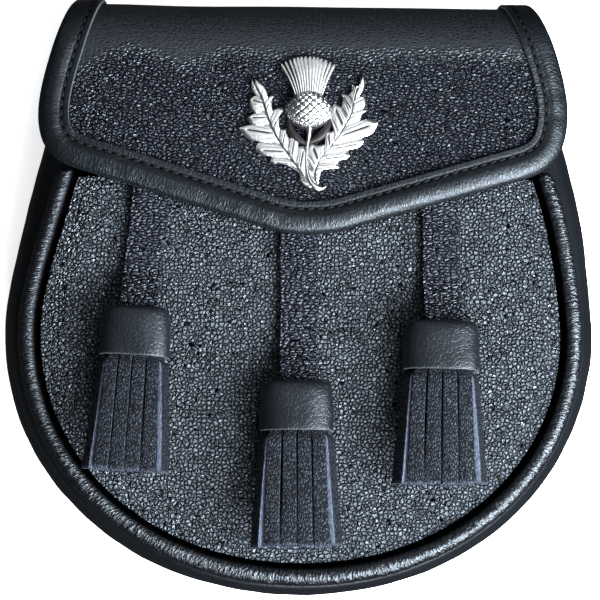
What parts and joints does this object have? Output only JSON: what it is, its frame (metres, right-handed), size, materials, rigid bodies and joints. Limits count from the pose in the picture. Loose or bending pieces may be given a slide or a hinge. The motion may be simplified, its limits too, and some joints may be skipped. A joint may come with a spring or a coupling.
{
  "type": "sporran pouch",
  "caption": "Leather day sporran: gusseted pouch with piped front, folded V-edged flap with stitched border, cast thistle badge, hanging tassels and belt loops.",
  "frame": {"origin": "middle of the floor under the pouch, lying on its back", "axes": "+Z out of the front, +Y towards the fold of the flap, +X to the right when facing the front"},
  "size_m": [0.1906, 0.1934, 0.0519],
  "materials": {
    "grained_leather": "pebble grained, semi gloss",
    "smooth_leather": "smooth, fine creases, soft gloss",
    "fringe_leather": "cut strips with raw grey-blue edges",
    "cast_metal": "cast, bright with dark recesses",
    "stud_metal": "plain"
  },
  "bodies": {
    "root": {"back_panel": "smooth_leather", "gusset": "smooth_leather", "front_panel": "grained_leather", "front_piping": "smooth_leather", "flap": "grained_leather", "flap_binding": "smooth_leather", "belt_loop_left": "smooth_leather", "belt_loop_right": "smooth_leather", "closing_stud": "stud_metal", "thistle_badge": "cast_metal", "tassel_strap_left": "grained_leather", "tassel_cap_left": "smooth_leather", "tassel_skirt_left": "fringe_leather", "tassel_strap_centre": "grained_leather", "tassel_cap_centre": "smooth_leather", "tassel_skirt_centre": "fringe_leather", "tassel_strap_right": "grained_leather", "tassel_cap_right": "smooth_leather", "tassel_skirt_right": "fringe_leather"}
  },
  "joints": []
}
